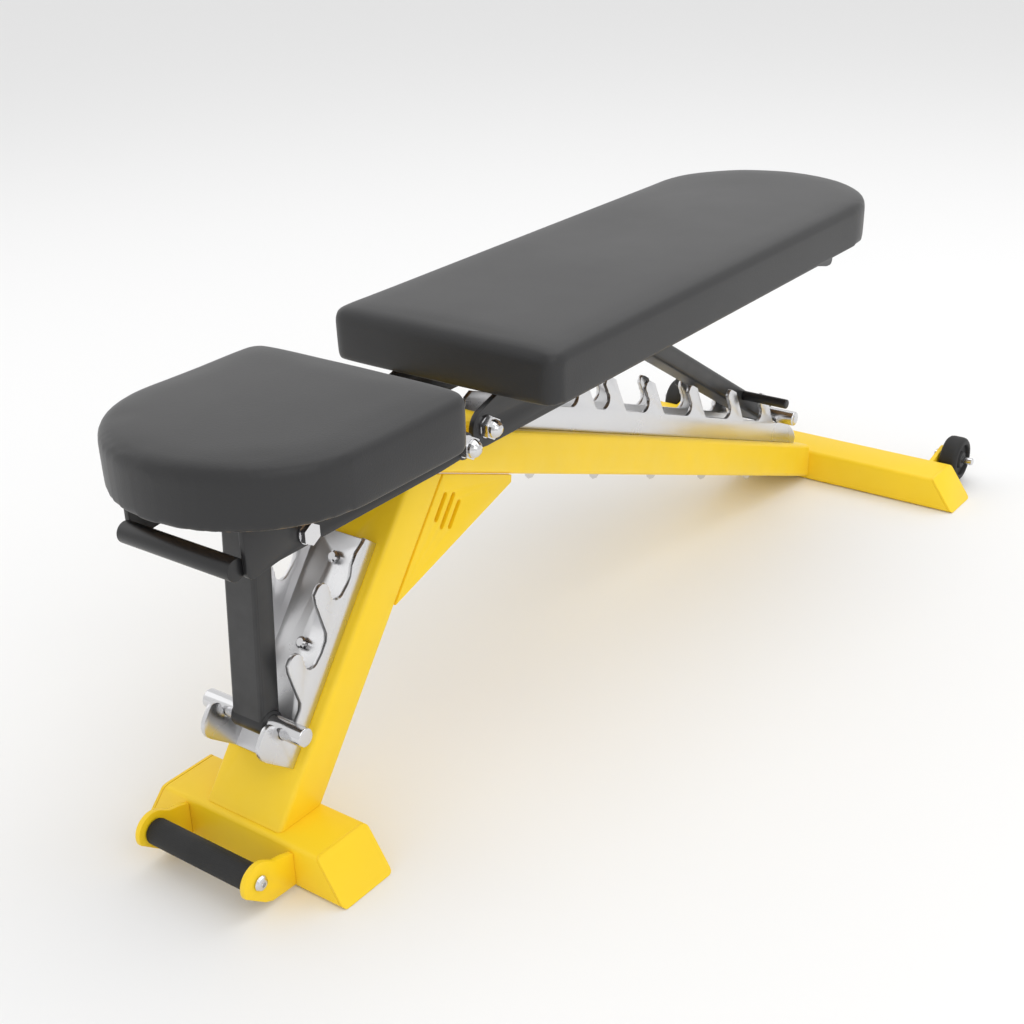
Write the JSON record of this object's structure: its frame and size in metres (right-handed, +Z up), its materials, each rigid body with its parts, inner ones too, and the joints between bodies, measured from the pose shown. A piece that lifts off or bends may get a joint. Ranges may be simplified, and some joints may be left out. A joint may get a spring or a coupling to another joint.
{
  "type": "adjustable weight bench",
  "caption": "Adjustable weight bench: yellow welded frame, notched steel ladders, black hinged seat and back cushions, transport wheels and a front roller.",
  "frame": {"origin": "centre of the bench's footprint, on the floor", "axes": "+Y runs from the seat to the head end of the back, +Z is up, +X is the bench's side seen nearest in the picture"},
  "size_m": [0.538, 1.3008, 0.44],
  "materials": {
    "yellow_paint": "powder coat",
    "black_paint": "satin powder coat",
    "steel": "polished",
    "vinyl": "fine grain",
    "plywood": "raw",
    "rubber": "matt"
  },
  "bodies": {
    "frame": {"back_pivot_bolt": "steel", "back_pivot_nut": "steel", "back_pivot_sleeve": "yellow_paint", "front_foot": "yellow_paint", "front_foot_end_left": "yellow_paint", "front_foot_end_right": "yellow_paint", "front_ladder": "steel", "front_ladder_screw_1": "steel", "front_ladder_screw_2": "steel", "front_post": "yellow_paint", "gusset_left": "yellow_paint", "gusset_right": "yellow_paint", "rear_foot": "yellow_paint", "rear_foot_end_left": "yellow_paint", "rear_foot_end_right": "yellow_paint", "rear_ladder": "steel", "rear_ladder_bolt_1": "steel", "rear_ladder_bolt_2": "steel", "rear_ladder_bolt_3": "steel", "rear_ladder_bolt_4": "steel", "rear_ladder_bolt_5": "steel", "roller_bolt_left": "steel", "roller_bolt_right": "steel", "roller_core": "steel", "roller_lug_left": "yellow_paint", "roller_lug_right": "yellow_paint", "seat_pivot_bolt": "steel", "seat_pivot_nut": "steel", "seat_pivot_sleeve": "yellow_paint", "spine": "steel", "spine_front_plate": "steel", "wheel_axle_left": "steel", "wheel_axle_right": "steel", "wheel_bracket_left": "yellow_paint", "wheel_bracket_right": "yellow_paint"},
    "seat": {"seat_cushion": "vinyl", "seat_board": "plywood", "seat_plate_left": "black_paint", "seat_plate_right": "black_paint", "seat_grab_bar": "black_paint", "seat_strut_bolt": "steel"},
    "seat_strut": {"seat_strut": "black_paint", "seat_strut_sleeve": "black_paint", "seat_strut_collar": "black_paint", "seat_latch_pin": "steel"},
    "back": {"back_cushion": "vinyl", "back_board": "plywood", "back_plate_left": "black_paint", "back_plate_right": "black_paint", "back_cross_bar": "black_paint", "back_strut_bolt": "steel"},
    "back_strut": {"back_strut": "black_paint", "back_strut_sleeve": "black_paint", "back_strut_collar": "black_paint", "back_latch_pin": "steel", "back_strut_handle": "black_paint"},
    "wheel_left": {"wheel_left": "rubber"},
    "wheel_right": {"wheel_right": "rubber"},
    "roller": {"roller_grip": "rubber"}
  },
  "joints": [
    {"name": "seat_hinge", "type": "hinge", "parent": "frame", "child": "seat", "pos_m": [0, -0.3085, 0.35], "axis": [-1, 0, 0], "range_deg": [0, 14]},
    {"name": "seat_strut_hinge", "type": "hinge", "parent": "seat", "child": "seat_strut", "pos_m": [0, -0.5325, 0.349], "axis": [-1, 0, 0], "range_deg": [-12.88, 0]},
    {"name": "back_hinge", "type": "hinge", "parent": "frame", "child": "back", "pos_m": [0, -0.2645, 0.354], "axis": [1, 0, 0], "range_deg": [0, 85]},
    {"name": "back_strut_hinge", "type": "hinge", "parent": "back", "child": "back_strut", "pos_m": [0, 0.0735, 0.35], "axis": [1, 0, 0], "range_deg": [-106.25, 0]},
    {"name": "left_wheel_axle", "type": "hinge", "parent": "frame", "child": "wheel_left", "pos_m": [-0.227, 0.6185, 0.036], "axis": [1, 0, 0], "continuous": true},
    {"name": "right_wheel_axle", "type": "hinge", "parent": "frame", "child": "wheel_right", "pos_m": [0.227, 0.6185, 0.036], "axis": [1, 0, 0], "continuous": true},
    {"name": "roller_spin", "type": "hinge", "parent": "frame", "child": "roller", "pos_m": [0, -0.6305, 0.035], "axis": [1, 0, 0], "continuous": true}
  ],
  "couplings": [
    {"joint": "seat_strut_hinge", "follows": "seat_hinge", "ratio": -0.92},
    {"joint": "back_strut_hinge", "follows": "back_hinge", "ratio": -1.25}
  ]
}
